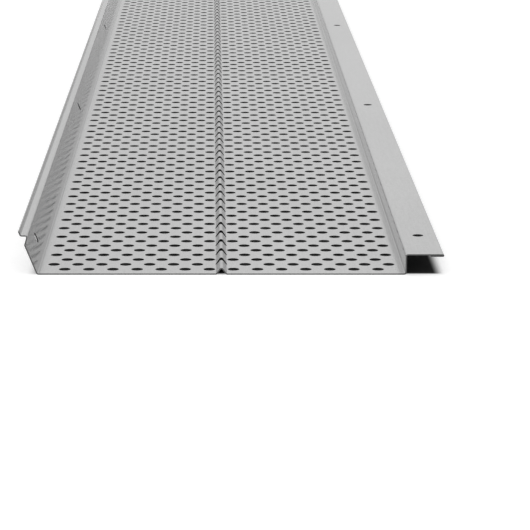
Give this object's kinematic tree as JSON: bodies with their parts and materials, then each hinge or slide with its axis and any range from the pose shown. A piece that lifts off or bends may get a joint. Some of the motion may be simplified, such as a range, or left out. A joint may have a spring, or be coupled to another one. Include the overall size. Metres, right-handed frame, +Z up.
{
  "type": "gutter guard",
  "caption": "Long roll-formed perforated aluminium sheet with a stiffening rib, a leaning rear wall with a folded top, and a raised hemmed front flange with screw holes.",
  "frame": {"origin": "under the middle of the overall box, at the height of the panel's underside", "axes": "+X across the gutter from the rear wall to the front flange, +Y along the length, +Z up out of the gutter"},
  "size_m": [0.1502, 0.9144, 0.0158],
  "materials": {
    "aluminium": "mill-finish aluminium sheet, satin, with a fine rolling grain along the length"
  },
  "bodies": {
    "root": {"guard_sheet": "aluminium"}
  },
  "joints": []
}
